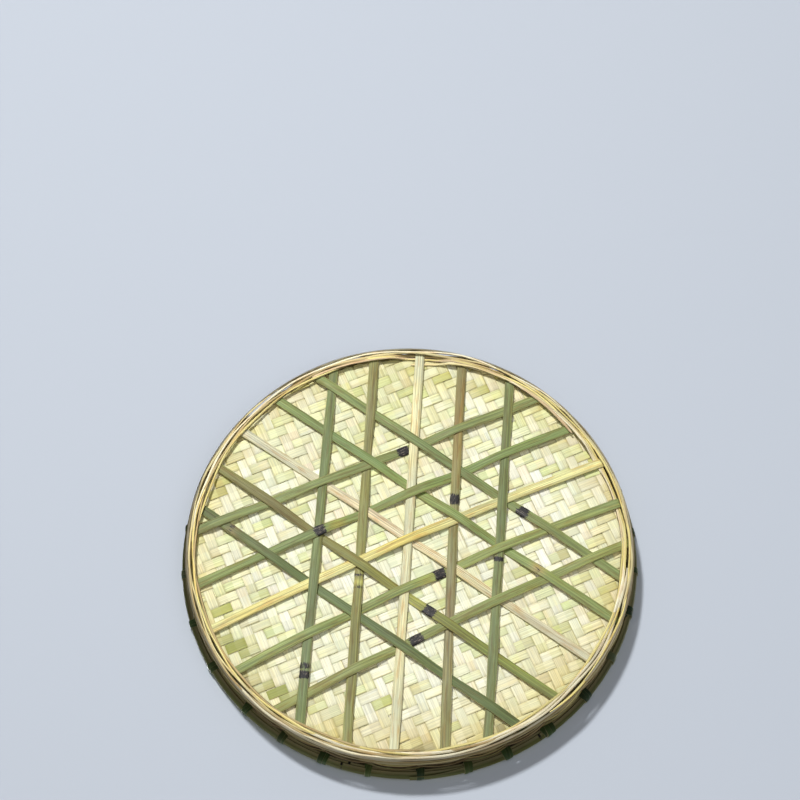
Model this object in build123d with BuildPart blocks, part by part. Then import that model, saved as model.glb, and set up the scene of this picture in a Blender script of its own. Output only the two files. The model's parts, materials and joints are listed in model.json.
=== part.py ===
from build123d import *
from math import atan2, cos, degrees, radians, sin, sqrt
import os

# A round winnowing basket of split bamboo, standing on its foot and open upwards. Millimetres.
# Origin: centre of the foot, on the surface it stands on. +Z: up through the open top.

# Ribs: flat slats in three directions, three layers deep where three of them cross
RIB_WIDTH = 8.0
RIB_THICK = 1.8
RIB_PITCH = 40.0
LAYER_STEP = 1.85       # one layer of slat with a hair of clearance
LOW_LAYER_Z = 0.8       # underside of the outermost layer
END_LAYER = 1           # layer of every rib where it meets the foot
END_HOLD_R = 182.0      # from this radius outwards a rib lies level on the foot
HOLD_HALF = 8.0         # half of the length that a rib stays in its layer at a crossing

# Wall: turned-up rib ends are the stakes, strands pass in front of and behind them
STAKE_R = 191.0         # middle of a stake's thickness
STAKE_TOP_Z = 33.5
STRAND_THICK = 2.3
STRAND_TALL = 3.4
STRAND_PITCH = 3.8
STRAND_COUNT = 5
FIRST_STRAND_Z = 6.4
STRAND_GAP = 0.15       # clearance between a strand and a stake
STRAND_HOLD_DEG = 1.8   # half of the angle that a strand stays level past a stake

# Foot: three strands laid round under and outside the rib ends, (inner radius, width, low z, height)
FOOT_STRANDS = [(183.5, 3.9, 0.0, 2.4), (187.6, 4.0, 0.0, 2.4), (192.1, 2.3, 0.6, 5.4)]

# Mat: a thin dish on top of the ribs
MAT_LOW_Z = 6.35
MAT_THICK = 1.3
MAT_R = 187.4
MAT_CORNER = 4.0
MAT_TOP_Z = 34.2

# Rim: hoops outside and inside the wall, a filler splint between, all lashed together
HOOP_LOW_Z = 26.6
HOOP_TOP_Z = 35.1
OUTER_HOOP = (192.05, 199.1)
FILLER = (187.5, 190.0)
INNER_HOOP = (182.4, 186.0)
HOOP_ROUND = 3.4        # fillet of the outer hoop's outside edges
INNER_ROUND = 1.4       # fillet of the inner hoop's inside edges
LASH_WIDTH = 4.5
LASH_THICK = 0.8
LASH_GAP = 0.05
SLOT_SIDE = 0.15        # how much larger than a lashing its slot through the mat is

# Each family of ribs: heading of its middle rib, then for ribs 1 to 5 how far each lies from its even place
# and how far it turns from the middle one, in millimetres and degrees. Hand work, so no two are quite parallel.
FAMILIES = {
    "a": (93.6, [(0.0, 0.4), (-2.0, -0.4), (-2.0, -0.1), (-2.5, -0.7), (-2.5, 0.7)]),
    "b": (215.9, [(-5.0, 0.3), (-7.0, -0.2), (-5.5, -0.4), (-2.0, 0.4), (-2.5, 0.1)]),
    "c": (154.9, [(-7.0, 1.7), (-5.5, 0.4), (-5.0, 0.1), (-4.0, -0.2), (-0.5, -1.7)]),
}
MIDDLE_RIB = 3

# The layers at every knot of crossing ribs, outermost rib first
KNOTS = [
    "c1 a1 b3", "c2 a1 b4", "a1 c3 b5", "b2 c1 a2", "a2 b3 c2", "b4 c3 a2", "a2 b5 c4",
    "b1 a3 c1", "c2 a3 b2", "c3 a3 b3", "c4 a3 b4", "b5 a3 c5", "a4 b1 c2", "b2 c3 a4",
    "a4 b3 c4", "b4 c5 a4", "a5 c3 b1", "c4 a5 b2", "c5 a5 b3",
    "b1 a1", "a1 b2", "a2 b1", "a4 b5", "a5 b4", "b5 a5", "c4 a1", "a1 c5", "c5 a2",
    "c1 a4", "a5 c1", "c2 a5", "b1 c4", "c5 b1", "b2 c5", "b4 c1", "c1 b5", "b5 c2",
]


def rib_line(name):
    """A rib's middle line seen from above: offset from the centre, unit normal and unit direction."""
    heading, places = FAMILIES[name[0]]
    number = int(name[1])
    shift, turn = places[number - 1]
    angle = radians(heading + turn)
    offset = (number - MIDDLE_RIB) * RIB_PITCH + shift
    return offset, Vector(-sin(angle), cos(angle), 0), Vector(cos(angle), sin(angle), 0)


def crossing(name, other):
    """How far along one rib's line another rib crosses it."""
    offset, normal, direction = rib_line(name)
    other_offset, other_normal, _ = rib_line(other)
    return (other_offset - offset * normal.dot(other_normal)) / direction.dot(other_normal)


def holds(name):
    """The stretches in which a rib keeps to one layer: (start, end, layer), along its length."""
    offset, _, _ = rib_line(name)
    end = sqrt(STAKE_R**2 - offset**2)
    foot = sqrt(END_HOLD_R**2 - offset**2)
    stretches = [(-end, -foot, END_LAYER), (foot, end, END_LAYER)]
    for knot in KNOTS:
        members = knot.split()
        if name in members:
            places = [crossing(name, other) for other in members if other != name]
            stretches.append((min(places) - HOLD_HALF, max(places) + HOLD_HALF, members.index(name)))
    return sorted(stretches)


def stake_angle(name, side):
    """Direction in degrees from the centre to one end of a rib; side is -1 or 1."""
    offset, normal, direction = rib_line(name)
    tip = normal * offset + direction * side * sqrt(STAKE_R**2 - offset**2)
    return degrees(atan2(tip.Y, tip.X)) % 360


def make_rib(name):
    """One slat: its waved run across the bottom, and a stake turned up at each end, facing the centre."""
    offset, normal, direction = rib_line(name)
    underside = []
    for start, end, layer in holds(name):
        underside.append((start, LOW_LAYER_Z + layer * LAYER_STEP))
        underside.append((end, LOW_LAYER_Z + layer * LAYER_STEP))
    upper = [(along, height + RIB_THICK) for along, height in reversed(underside)]
    side_plane = Plane(origin=normal * offset, x_dir=direction, z_dir=direction.cross(Vector(0, 0, 1)))
    stake_foot_z = LOW_LAYER_Z + END_LAYER * LAYER_STEP
    with BuildPart() as rib:
        with BuildSketch(side_plane):
            with BuildLine():
                Polyline(*underside, *upper, close=True)
            make_face()
        extrude(amount=RIB_WIDTH / 2, both=True)
        for side in (-1, 1):
            angle = radians(stake_angle(name, side))
            with BuildSketch(Plane(origin=(0, 0, stake_foot_z), x_dir=(cos(angle), sin(angle), 0))):
                with Locations((STAKE_R, 0)):
                    Rectangle(RIB_THICK, RIB_WIDTH)
            extrude(amount=STAKE_TOP_Z - stake_foot_z)
        with BuildSketch():
            Circle(STAKE_R + RIB_THICK / 2)
        extrude(amount=STAKE_TOP_Z, mode=Mode.INTERSECT)
    return rib.part


def make_ring(inner_r, width, low_z, height):
    """A plain ring of rectangular section round the centre."""
    with BuildPart() as ring:
        with BuildSketch(Plane.XY.offset(low_z)):
            Circle(inner_r + width)
            Circle(inner_r, mode=Mode.SUBTRACT)
        extrude(amount=height)
    return ring.part


def strand_outline(inside_r, outside_r, first):
    """One edge of a woven strand seen from above: straight past every stake, on alternate sides of them."""
    reach = radians(STRAND_HOLD_DEG)
    corners = []
    for number, degrees_round in enumerate(STAKE_ANGLES):
        level_r = outside_r if (number + first) % 2 else inside_r
        for side in (-1, 1):
            angle = radians(degrees_round) + side * reach
            corners.append((level_r / cos(reach) * cos(angle), level_r / cos(reach) * sin(angle)))
    return corners


def make_strand(number):
    """A wall strand that passes outside one stake and inside the next, opposite to the strand below it."""
    outside_r = STAKE_R + RIB_THICK / 2 + STRAND_GAP
    inside_r = STAKE_R - RIB_THICK / 2 - STRAND_GAP - STRAND_THICK
    with BuildPart() as strand:
        with BuildSketch(Plane.XY.offset(FIRST_STRAND_Z + number * STRAND_PITCH)):
            with BuildLine():
                Polyline(*strand_outline(inside_r + STRAND_THICK, outside_r + STRAND_THICK, number), close=True)
            make_face()
            with BuildLine():
                Polyline(*strand_outline(inside_r, outside_r, number), close=True)
            make_face(mode=Mode.SUBTRACT)
        extrude(amount=STRAND_TALL)
    return strand.part


def rim_outline(low_r, high_r, grow, outside_round, inside_round):
    """Part of the rim in a radial plane, x outwards and y up, grown all round."""
    low_z = HOOP_LOW_Z - grow
    high_z = HOOP_TOP_Z + grow
    with BuildSketch() as outline:
        with Locations(((low_r + high_r) / 2, (low_z + high_z) / 2)):
            Rectangle(high_r - low_r + 2 * grow, high_z - low_z)
        if outside_round:
            fillet(outline.vertices().group_by(Axis.X)[-1], outside_round + grow)
        if inside_round:
            fillet(outline.vertices().group_by(Axis.X)[0], inside_round + grow)
    return outline.sketch


def make_hoop(radii, outside_round, inside_round):
    """A hoop of the rim, turned about the centre."""
    section = rim_outline(*radii, 0, outside_round, inside_round)
    with BuildPart() as hoop:
        with BuildSketch(Plane.XZ):
            add(section)
        revolve(axis=Axis.Z)
    return hoop.part


def make_mat():
    """The woven sheet as one dish: flat bottom, rounded corner, upright wall with a slot for every lashing."""
    inner_r = MAT_R - MAT_THICK
    bottom = MAT_LOW_Z
    corner_r = MAT_R - MAT_CORNER
    corner_z = bottom + MAT_CORNER
    slot_z = HOOP_LOW_Z - LASH_GAP - LASH_THICK / 2
    with BuildPart() as mat:
        with BuildSketch(Plane.XZ):
            with BuildLine():
                Line((0, bottom), (corner_r, bottom))
                JernArc((corner_r, bottom), (1, 0), MAT_CORNER, 90)
                Polyline((MAT_R, corner_z), (MAT_R, MAT_TOP_Z), (inner_r, MAT_TOP_Z), (inner_r, corner_z))
                JernArc((inner_r, corner_z), (0, -1), MAT_CORNER - MAT_THICK, -90)
                Polyline((corner_r, bottom + MAT_THICK), (0, bottom + MAT_THICK), (0, bottom))
            make_face()
        revolve(axis=Axis.Z)
        for degrees_round in LASH_ANGLES:
            with BuildSketch(radial_plane(degrees_round)):
                with Locations((MAT_R - MAT_THICK / 2, slot_z)):
                    Rectangle(2 * MAT_THICK, LASH_THICK + 2 * SLOT_SIDE)
            extrude(amount=LASH_WIDTH / 2 + SLOT_SIDE, both=True, mode=Mode.SUBTRACT)
    return mat.part


def radial_plane(degrees_round):
    """An upright plane through the centre: x outwards, y up."""
    angle = radians(degrees_round)
    return Plane(origin=(0, 0, 0), x_dir=(cos(angle), sin(angle), 0), z_dir=(sin(angle), -cos(angle), 0))


def make_lashings():
    """Every strip tied round the rim, each a closed loop midway between two stakes."""
    rim = (INNER_HOOP[0], OUTER_HOOP[1])
    outside = rim_outline(*rim, LASH_GAP + LASH_THICK, HOOP_ROUND, INNER_ROUND)
    inside = rim_outline(*rim, LASH_GAP, HOOP_ROUND, INNER_ROUND)
    loop = outside - inside
    with BuildPart() as lashings:
        for degrees_round in LASH_ANGLES:
            with BuildSketch(radial_plane(degrees_round)):
                add(loop)
            extrude(amount=LASH_WIDTH / 2, both=True)
    return lashings.part


def write(part, name):
    """Labels a finished piece and writes it to its own file."""
    part.label = name
    export_step(part, f"parts/{name}.step")


RIB_NAMES = [family + str(number) for family in FAMILIES for number in range(1, 6)]
STAKE_ANGLES = sorted(stake_angle(name, side) for name in RIB_NAMES for side in (-1, 1))
NEXT_ANGLES = STAKE_ANGLES[1:] + [STAKE_ANGLES[0] + 360]
LASH_ANGLES = [(here + after) / 2 for here, after in zip(STAKE_ANGLES, NEXT_ANGLES)]

os.makedirs("parts", exist_ok=True)
write(make_mat(), "mat")
for rib_name in RIB_NAMES:
    write(make_rib(rib_name), f"rib_{rib_name}")
for number, foot_strand in enumerate(FOOT_STRANDS, start=1):
    write(make_ring(*foot_strand), f"foot_strand_{number}")
for number in range(STRAND_COUNT):
    write(make_strand(number), f"wall_strand_{number + 1}")
write(make_hoop(OUTER_HOOP, HOOP_ROUND, 0), "rim_hoop_outer")
write(make_hoop(INNER_HOOP, 0, INNER_ROUND), "rim_hoop_inner")
write(make_hoop(FILLER, 0, 0), "rim_filler")
write(make_lashings(), "rim_lashings")
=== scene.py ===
import json
import math
import random

import bpy
import numpy as np
from mathutils import Matrix, Vector

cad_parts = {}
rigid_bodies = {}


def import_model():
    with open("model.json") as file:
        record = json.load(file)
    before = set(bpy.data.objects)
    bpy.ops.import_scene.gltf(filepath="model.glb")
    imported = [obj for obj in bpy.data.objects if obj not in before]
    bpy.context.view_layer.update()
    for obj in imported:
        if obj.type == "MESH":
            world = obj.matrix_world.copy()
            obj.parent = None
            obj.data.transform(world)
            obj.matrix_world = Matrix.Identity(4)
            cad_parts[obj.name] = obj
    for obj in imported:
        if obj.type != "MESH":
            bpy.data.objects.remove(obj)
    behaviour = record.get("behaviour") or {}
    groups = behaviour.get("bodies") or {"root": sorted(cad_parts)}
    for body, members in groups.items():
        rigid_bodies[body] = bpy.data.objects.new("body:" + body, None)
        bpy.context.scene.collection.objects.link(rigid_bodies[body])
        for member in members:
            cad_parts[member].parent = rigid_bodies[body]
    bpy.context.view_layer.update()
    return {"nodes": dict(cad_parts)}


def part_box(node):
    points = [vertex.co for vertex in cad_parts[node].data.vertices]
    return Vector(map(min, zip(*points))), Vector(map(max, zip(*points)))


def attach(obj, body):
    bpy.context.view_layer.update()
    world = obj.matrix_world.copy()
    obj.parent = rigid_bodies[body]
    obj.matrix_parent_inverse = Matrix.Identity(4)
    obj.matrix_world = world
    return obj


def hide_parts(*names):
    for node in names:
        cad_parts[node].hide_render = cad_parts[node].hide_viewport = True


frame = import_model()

# A round winnowing basket of split bamboo. It stands on its foot, open upwards, and the main view shows its
# underside. Shapes are worked out in millimetres and turned into metres when a mesh is made. "Out" is the side
# that faces away from the tray: down under its floor, and away from the centre on its wall.
MM = 0.001
UP = np.array([0.0, 0.0, 1.0])


def box_mm(node):
    """Lowest and highest corners of a CAD node, in millimetres."""
    low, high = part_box(node)
    return np.array(low) / MM, np.array(high) / MM


def cad_points(node):
    """Every vertex of a CAD node, in millimetres."""
    vertices = frame["nodes"][node].data.vertices
    points = np.empty(len(vertices) * 3)
    vertices.foreach_get("co", points)
    return points.reshape(-1, 3) / MM


def unit(rows):
    """The same vectors, one to a row, at length 1."""
    return rows / np.linalg.norm(rows, axis=1)[:, None]


def run_lengths(line):
    """How far along a line each of its points lies."""
    return np.concatenate([[0], np.cumsum(np.linalg.norm(np.diff(line, axis=0), axis=1))])


def headed(heading):
    """Unit vectors away from the centre and round it, at a heading in radians."""
    cosine, sine = math.cos(heading), math.sin(heading)
    return np.array([cosine, sine, 0]), np.array([-sine, cosine, 0])


def blend(first, second, share):
    """All of the first at share 0, all of the second at 1."""
    return first * (1 - share) + second * share


def smooth(value, low, high):
    """0 below low, 1 above high, and an even S between."""
    part = np.clip((value - low) / (high - low), 0, 1)
    return part * part * (3 - 2 * part)


def wander(rng, reach, wavelength):
    """A slow uneven curve about zero: three waves added up, together about this far at most."""
    waves = [(rng.uniform(0.5, 1.0), wavelength * rng.uniform(0.55, 1.7), rng.uniform(0, math.tau))
             for _ in range(3)]

    def curve(along):
        total = sum(size * np.sin(math.tau * along / length + phase) for size, length, phase in waves)
        return reach * total / 2
    return curve


def new_object(name, data):
    """An object with this data, in the scene."""
    obj = bpy.data.objects.new(name, data)
    bpy.context.scene.collection.objects.link(obj)
    return obj


# ---- colours

def srgb(red, green, blue):
    """A display colour, 0 to 255, as the linear numbers that shaders use."""
    parts = np.array([red, green, blue]) / 255
    return np.where(parts <= 0.04045, parts / 12.92, ((parts + 0.055) / 1.055) ** 2.4)


SPLINT_COLOURS = {
    "warp": [srgb(*rgb) for rgb in ((240, 238, 204), (240, 230, 198), (246, 247, 226), (232, 238, 194),
                                    (238, 234, 186))],
    "weft": [srgb(*rgb) for rgb in ((236, 240, 192), (226, 234, 170), (242, 239, 200), (216, 228, 156),
                                    (246, 247, 220))],
}
OLIVE_WEFT = srgb(186, 194, 96)
DEEP_OLIVE = srgb(146, 152, 44)
# Painted shade: the dark brown of small spots at the mat's edge near the foot, standing for holes with shade
# behind them.
HOLE_SHADE_BROWN = srgb(112, 94, 40)
# Painted highlight: the near-white that patches lay over the mat's floats where they glare.
PAINTED_HIGHLIGHT_WHITE = srgb(252, 253, 244)
EDGE_TAN = srgb(204, 184, 104)
STRAW = srgb(226, 214, 160)
CREAM_STRAW = srgb(248, 241, 208)
YELLOW_STRAW = srgb(238, 224, 146)
PINK_STRAW = srgb(214, 190, 150)
GREEN_STRAW = srgb(176, 180, 112)
TAN_STRAW = srgb(196, 176, 124)
BROWN_STRAW = srgb(150, 122, 76)
DARK_STRAW = srgb(112, 90, 52)
HOOP_GREEN = srgb(126, 132, 70)
HOOP_OLIVE = srgb(160, 154, 92)
HOOP_PALE = srgb(214, 200, 140)
LASHING_COLOURS = [srgb(78, 106, 52), srgb(70, 98, 58), srgb(96, 118, 62), srgb(132, 150, 112)]
CUT_BAMBOO = srgb(222, 210, 160)
# Dark edge colours: painted shade along the edges of the mat's splints, the ribs and the strands, as the shade
# in the gaps between them.
MAT_EDGE_SHADE = srgb(150, 138, 82)
RIB_EDGE_SHADE = srgb(98, 98, 58)
STRAND_EDGE_SHADE = srgb(74, 56, 28)
NODE_DARK = srgb(14, 9, 9)
NODE_SPECK = srgb(150, 136, 118)
FLECK_BROWN = srgb(150, 130, 74)
BLOTCH_BROWN = (0.86, 0.66, 0.50)  # this and WARMER multiply the colour that they lie on
WARMER = (1.10, 1.0, 0.74)


# ---- strips of bamboo

SHARP_ANGLE = math.radians(50)
CORNER_FACE = 0.35  # how far a strip's corners count as cut


def slat_section(crown, corner, across_points, back_points=2, back_crown=0.0):
    """The outline of a split strip: crowned outside, nearly flat inside, with small corners.

    Rows are (across -1 to 1, height -0.5 to 0.5, face: 0 on the outside, 1 on the cut sides and the back).
    """
    rows = [(-1.0, 0.5 - crown - corner, CORNER_FACE)]
    for across in np.linspace(-1 + corner, 1 - corner, across_points):
        rows.append((across, 0.5 - crown * across**2, 0.0))
    rows.append((1.0, 0.5 - crown - corner, CORNER_FACE))
    for across in np.linspace(1, -1, back_points):
        rows.append((across, -0.5 + back_crown * (across**2 - 1), 1.0))
    return np.array(rows)


# Both sides of the mat are seen, so its splints' backs are less cut than the others'.
MAT_SECTION = slat_section(crown=0.10, corner=0.06, across_points=3, back_points=3, back_crown=0.12)
MAT_SECTION *= (1, 1, 0.4)
RIB_SECTION = slat_section(crown=0.20, corner=0.14, across_points=9, back_points=4)
STRAND_SECTION = slat_section(crown=0.28, corner=0.16, across_points=5, back_points=3)
HOOP_SECTION = slat_section(crown=0.42, corner=0.08, across_points=9, back_points=4)


class Strips:
    """Collects strips, and makes them into one mesh with what its material reads from each point."""

    def __init__(self):
        self.points, self.faces, self.grain, self.lie, self.tint = [], [], [], [], []
        self.count = 0

    def add_grid(self, points, along, across, section, tint, seed, stain):
        """One strip from its points, in rows along it and columns round its outline."""
        rows, columns = points.shape[:2]
        index = np.arange(rows * columns).reshape(rows, columns) + self.count
        here, after = index[:-1], index[1:]
        turned = np.roll(index, -1, axis=1)
        self.faces += np.stack([here, turned[:-1], turned[1:], after], axis=-1).reshape(-1, 4).tolist()
        self.faces.append(index[0][::-1].tolist())
        self.faces.append(index[-1].tolist())
        ones = np.ones((rows, columns))
        self.points.append(points.reshape(-1, 3))
        self.grain.append(np.stack([along[:, None] * ones, across, seed * ones], axis=-1).reshape(-1, 3))
        self.lie.append(np.stack([section[:, 0] * ones, section[:, 2] * ones, stain[:, None] * ones],
                                 axis=-1).reshape(-1, 3))
        self.tint.append(np.repeat(tint, columns, axis=0))
        self.count += rows * columns

    def add(self, centre, side, out, half_width, thick, section, along, tint, seed, stain=None):
        """One strip round a middle line. half_width, thick, tint and stain may change along it."""
        rows = len(centre)
        across = np.broadcast_to(half_width, rows)[:, None] * section[:, 0]
        height = np.broadcast_to(thick, rows)[:, None] * section[:, 1]
        points = centre[:, None] + across[..., None] * side[:, None] + height[..., None] * out[:, None]
        stain = np.zeros(rows) if stain is None else stain
        self.add_grid(points, along, across, section, np.broadcast_to(tint, (rows, 3)), seed, stain)

    def piece(self, name, material, node):
        """Makes the collected strips into one piece that stands for this CAD node."""
        mesh = bpy.data.meshes.new(name)
        mesh.from_pydata(np.concatenate(self.points) * MM, [], self.faces)
        for label, values in (("grain", self.grain), ("lie", self.lie)):
            layer = mesh.attributes.new(label, "FLOAT_VECTOR", "POINT")
            layer.data.foreach_set("vector", np.concatenate(values).astype(np.float32).ravel())
        colours = np.concatenate(self.tint)
        layer = mesh.color_attributes.new("tint", "FLOAT_COLOR", "POINT")
        colours = np.hstack([colours, np.ones((len(colours), 1))])
        layer.data.foreach_set("color", colours.astype(np.float32).ravel())
        mesh.polygons.foreach_set("use_smooth", np.ones(len(mesh.polygons), bool))
        mesh.set_sharp_from_angle(angle=SHARP_ANGLE)
        mesh.materials.append(material)
        obj = new_object(name, mesh)
        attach(obj, "root")
        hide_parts(node)


# ---- materials

# Noise over a strip: its stretch along, across and from strip to strip, its detail, and a shift of its own.
NOISES = {
    "fibre": ((0.03, 3.2, 7.0), 4.0, 0.0),
    "streak": ((0.008, 1.3, 5.0), 2.0, 3.7),
    "patch": ((0.03, 0.16, 3.0), 3.0, 9.1),  # warmer stretches, and where the edges take their edge colour (pale wear on the lashings, painted shade on the dark edges)
    "fleck": ((0.5, 1.6, 2.0), 2.0, 5.3),
    "cloud": ((0.05, 0.35, 3.0), 4.0, 14.3),  # brown blotches
    "torn": ((0.16, 1.3, 2.0), 3.0, 21.7),  # the ragged ends of a node's stain
    "speckle": ((0.28, 1.4, 2.0), 3.0, 8.8),  # pale specks in it
}
EDGE_SHADOW_LEAN = 0.07  # how much further the edge colour reaches in on one side of a strip than the other, each way: on dark edges, a painted shadow falling to one side
FLECK_SHARE = 0.42
STAIN_RAGGED = 1.9
SPECULAR = 0.42
ROUGH_SPAN = 0.22  # how much rougher the dull fibres are than the smoothest
CUT_ROUGHER = 0.12
BUMP_STRENGTH = 0.55


class Shader:
    """A material's node tree, with short ways to add nodes to it."""

    def __init__(self, name):
        self.material = bpy.data.materials.new(name)
        self.material.use_nodes = True
        self.nodes = self.material.node_tree.nodes
        self.links = self.material.node_tree.links
        self.principled = self.nodes["Principled BSDF"]

    def add(self, kind, settings=(), **inputs):
        """A node with these settings. An input is a number or colour, or another node's output."""
        node = self.nodes.new(kind)
        for key, value in dict(settings).items():
            setattr(node, key, value)
        for key, value in inputs.items():
            self.feed(node.inputs[int(key[1:]) if key[1:].isdigit() else key.replace("_", " ")], value)
        return node

    def feed(self, socket, value):
        if isinstance(value, bpy.types.NodeSocket):
            self.links.new(value, socket)
        else:
            socket.default_value = value

    def math(self, operation, first, second=0.0, clamp=False):
        settings = {"operation": operation, "use_clamp": clamp}
        return self.add("ShaderNodeMath", settings, i0=first, i1=second).outputs[0]

    def times(self, first, second):
        return self.math("MULTIPLY", first, second)

    def plus(self, first, second, clamp=False):
        return self.math("ADD", first, second, clamp)

    def between(self, value, low, high, to_low=0.0, to_high=1.0):
        """Value from low to high becomes to_low to to_high, eased at both ends."""
        return self.add("ShaderNodeMapRange", {"interpolation_type": "SMOOTHSTEP"}, Value=value, From_Min=low,
                        From_Max=high, To_Min=to_low, To_Max=to_high).outputs[0]

    def noise(self, vector, scale, detail, shift):
        placed = self.add("ShaderNodeVectorMath", {"operation": "MULTIPLY_ADD"}, i0=vector, i1=scale,
                          i2=(shift, shift, shift)).outputs[0]
        texture = self.add("ShaderNodeTexNoise", Vector=placed, Scale=1.0, Detail=detail, Roughness=0.6)
        return texture.outputs[0]

    def mix(self, factor, first, second, kind="MIX"):
        """Two colours mixed. Each is three numbers, or another node's output."""
        first, second = (colour if isinstance(colour, bpy.types.NodeSocket) else (*colour, 1)
                         for colour in (first, second))
        return self.add("ShaderNodeMix", {"data_type": "RGBA", "blend_type": kind, "clamp_factor": True},
                        i0=factor, i6=first, i7=second).outputs[2]


def bamboo(name, fibre, streak, edge_wear_and_shade, gloss, relief, blotch=0.0, edge_colour=CUT_BAMBOO, edge_from=0.82):
    """Split bamboo: fibres and streaks that run along each strip, edges in an edge colour (painted shade where
    that colour is dark, wear where it is pale), and dark stains at the nodes.

    fibre and streak are how much they darken, edge_wear_and_shade is how far the edges turn to edge_colour,
    gloss is the smoothest roughness, relief is the depth of the fibres in metres, blotch is how strong the brown
    blotches are, and edge_from is how far across a strip its coloured edges start.
    """
    shader = Shader(name)
    grain, lie, tint = (shader.add("ShaderNodeAttribute", {"attribute_name": label}).outputs[kind]
                        for label, kind in (("grain", "Vector"), ("lie", "Vector"), ("tint", "Color")))
    across, face, stain = shader.add("ShaderNodeSeparateXYZ", Vector=lie).outputs
    noise = {label: shader.noise(grain, *settings) for label, settings in NOISES.items()}

    shade = shader.times(shader.between(noise["fibre"], 0.25, 0.75, 1 - fibre, 1 + fibre * 0.5),
                         shader.between(noise["streak"], 0.25, 0.75, 1 - streak, 1 + streak * 0.5))
    grey = shader.add("ShaderNodeCombineColor", Red=shade, Green=shade, Blue=shade).outputs[0]
    colour = shader.mix(1.0, tint, grey, "MULTIPLY")
    warm = shader.mix(1.0, colour, WARMER, "MULTIPLY")
    colour = shader.mix(shader.between(noise["patch"], 0.4, 0.75, 0.0, 0.7), colour, warm)
    brown = shader.mix(1.0, colour, BLOTCH_BROWN, "MULTIPLY")
    colour = shader.mix(shader.between(noise["cloud"], 0.46, 0.66, 0.0, blotch), colour, brown)
    pale = shader.times(face, shader.between(noise["streak"], 0.3, 0.7, 0.55, 0.95))
    colour = shader.mix(pale, colour, CUT_BAMBOO)
    # Painted shade: where edge_colour is dark, the strip's edges are darkened as if by the shade in the gaps
    # between strips. Where it is pale, the edges are worn.
    edge = shader.between(shader.math("ABSOLUTE", shader.plus(across, EDGE_SHADOW_LEAN)), edge_from, 1.0)
    edge = shader.times(edge, shader.between(noise["patch"], 0.42, 0.60, 0.05, 1.0))
    colour = shader.mix(shader.times(edge, edge_wear_and_shade), colour, edge_colour)
    colour = shader.mix(shader.between(noise["fleck"], 0.64, 0.76, 0.0, FLECK_SHARE), colour, FLECK_BROWN)

    ragged = shader.plus(stain, shader.times(shader.math("SUBTRACT", noise["torn"], 0.5), STAIN_RAGGED))
    dark = shader.times(shader.between(ragged, 0.34, 0.56), shader.between(stain, 0.05, 0.35))
    mark = shader.mix(shader.between(noise["speckle"], 0.55, 0.68, 0.0, 0.7), NODE_DARK, NODE_SPECK)
    shader.feed(shader.principled.inputs["Base Color"], shader.mix(dark, colour, mark))

    rough = shader.between(noise["fibre"], 0.3, 0.7, gloss + ROUGH_SPAN, gloss)
    rough = shader.plus(rough, shader.times(face, CUT_ROUGHER), clamp=True)
    shader.feed(shader.principled.inputs["Roughness"], rough)
    shader.principled.inputs["Specular IOR Level"].default_value = SPECULAR
    height = shader.plus(shader.times(noise["fibre"], 0.6), shader.times(noise["streak"], 0.7))
    bump = shader.add("ShaderNodeBump", Strength=BUMP_STRENGTH, Distance=relief, Height=height)
    shader.feed(shader.principled.inputs["Normal"], bump.outputs[0])
    return shader.material


# ---- the woven mat

MAT_PITCH = 8.7  # from one splint to the next
HEADINGS = {"warp": 67.5, "weft": 156.5}  # each family's direction in degrees, nearly square to the other's
OTHER = {"warp": "weft", "weft": "warp"}
WEAVE_CENTRE = (-19.0, 20.0)  # where the diamonds of the weave are centred
# How uneven each family is: how far its splints' borders are moved, and the gap beside each border
UNEVENNESS = {"warp": (0.45, (0.05, 0.3)), "weft": (0.7, (0.08, 0.55))}
MAT_CORNER = 4.0  # outside radius between the floor and the wall of the tray
MAT_THICK = 1.3
MAT_TRIM = 0.6  # how far below the CAD mat's edge the splints end
SPLINT_THICK = 0.55
SPLINT_RISE = 0.46  # how far a splint swings each way as it goes over and under
# The steps of a splint past one that it crosses, as shares of the way and of the rise. CELL_STAY is the rise
# where it stays on the same side from the crossing before, and to the crossing after.
CELL_STEPS = (0.0, 0.11, 0.26, 0.5, 0.74, 0.89)
CELL_RISE = (0.0, 0.62, 0.97, 1.06, 0.97, 0.62)
CELL_STAY = (1.16, 1.14, 1.1), (1.1, 1.14)
SPLINT_TONES = (0.85, 1.07)
SPLINT_TILT = 0.06
CREASE_SHADE = 0.30  # how much darker a splint is painted where it dives under another: painted shade in the crease
PIECES_PER_FAMILY = 4
OLIVE_CHANCE = 0.09
ODD_COLOURS = [*SPLINT_COLOURS["warp"], *SPLINT_COLOURS["weft"], OLIVE_WEFT, PINK_STRAW]
ODD_SHARE = 0.3  # how far each float turns to a colour of its own
TAN_FROM, TAN_TO = 140, 196  # towards the wall, the mat turns tan between these radii
TAN_SHARES = (0.15, 0.6)
BOTH = ("warp", "weft")
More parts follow.
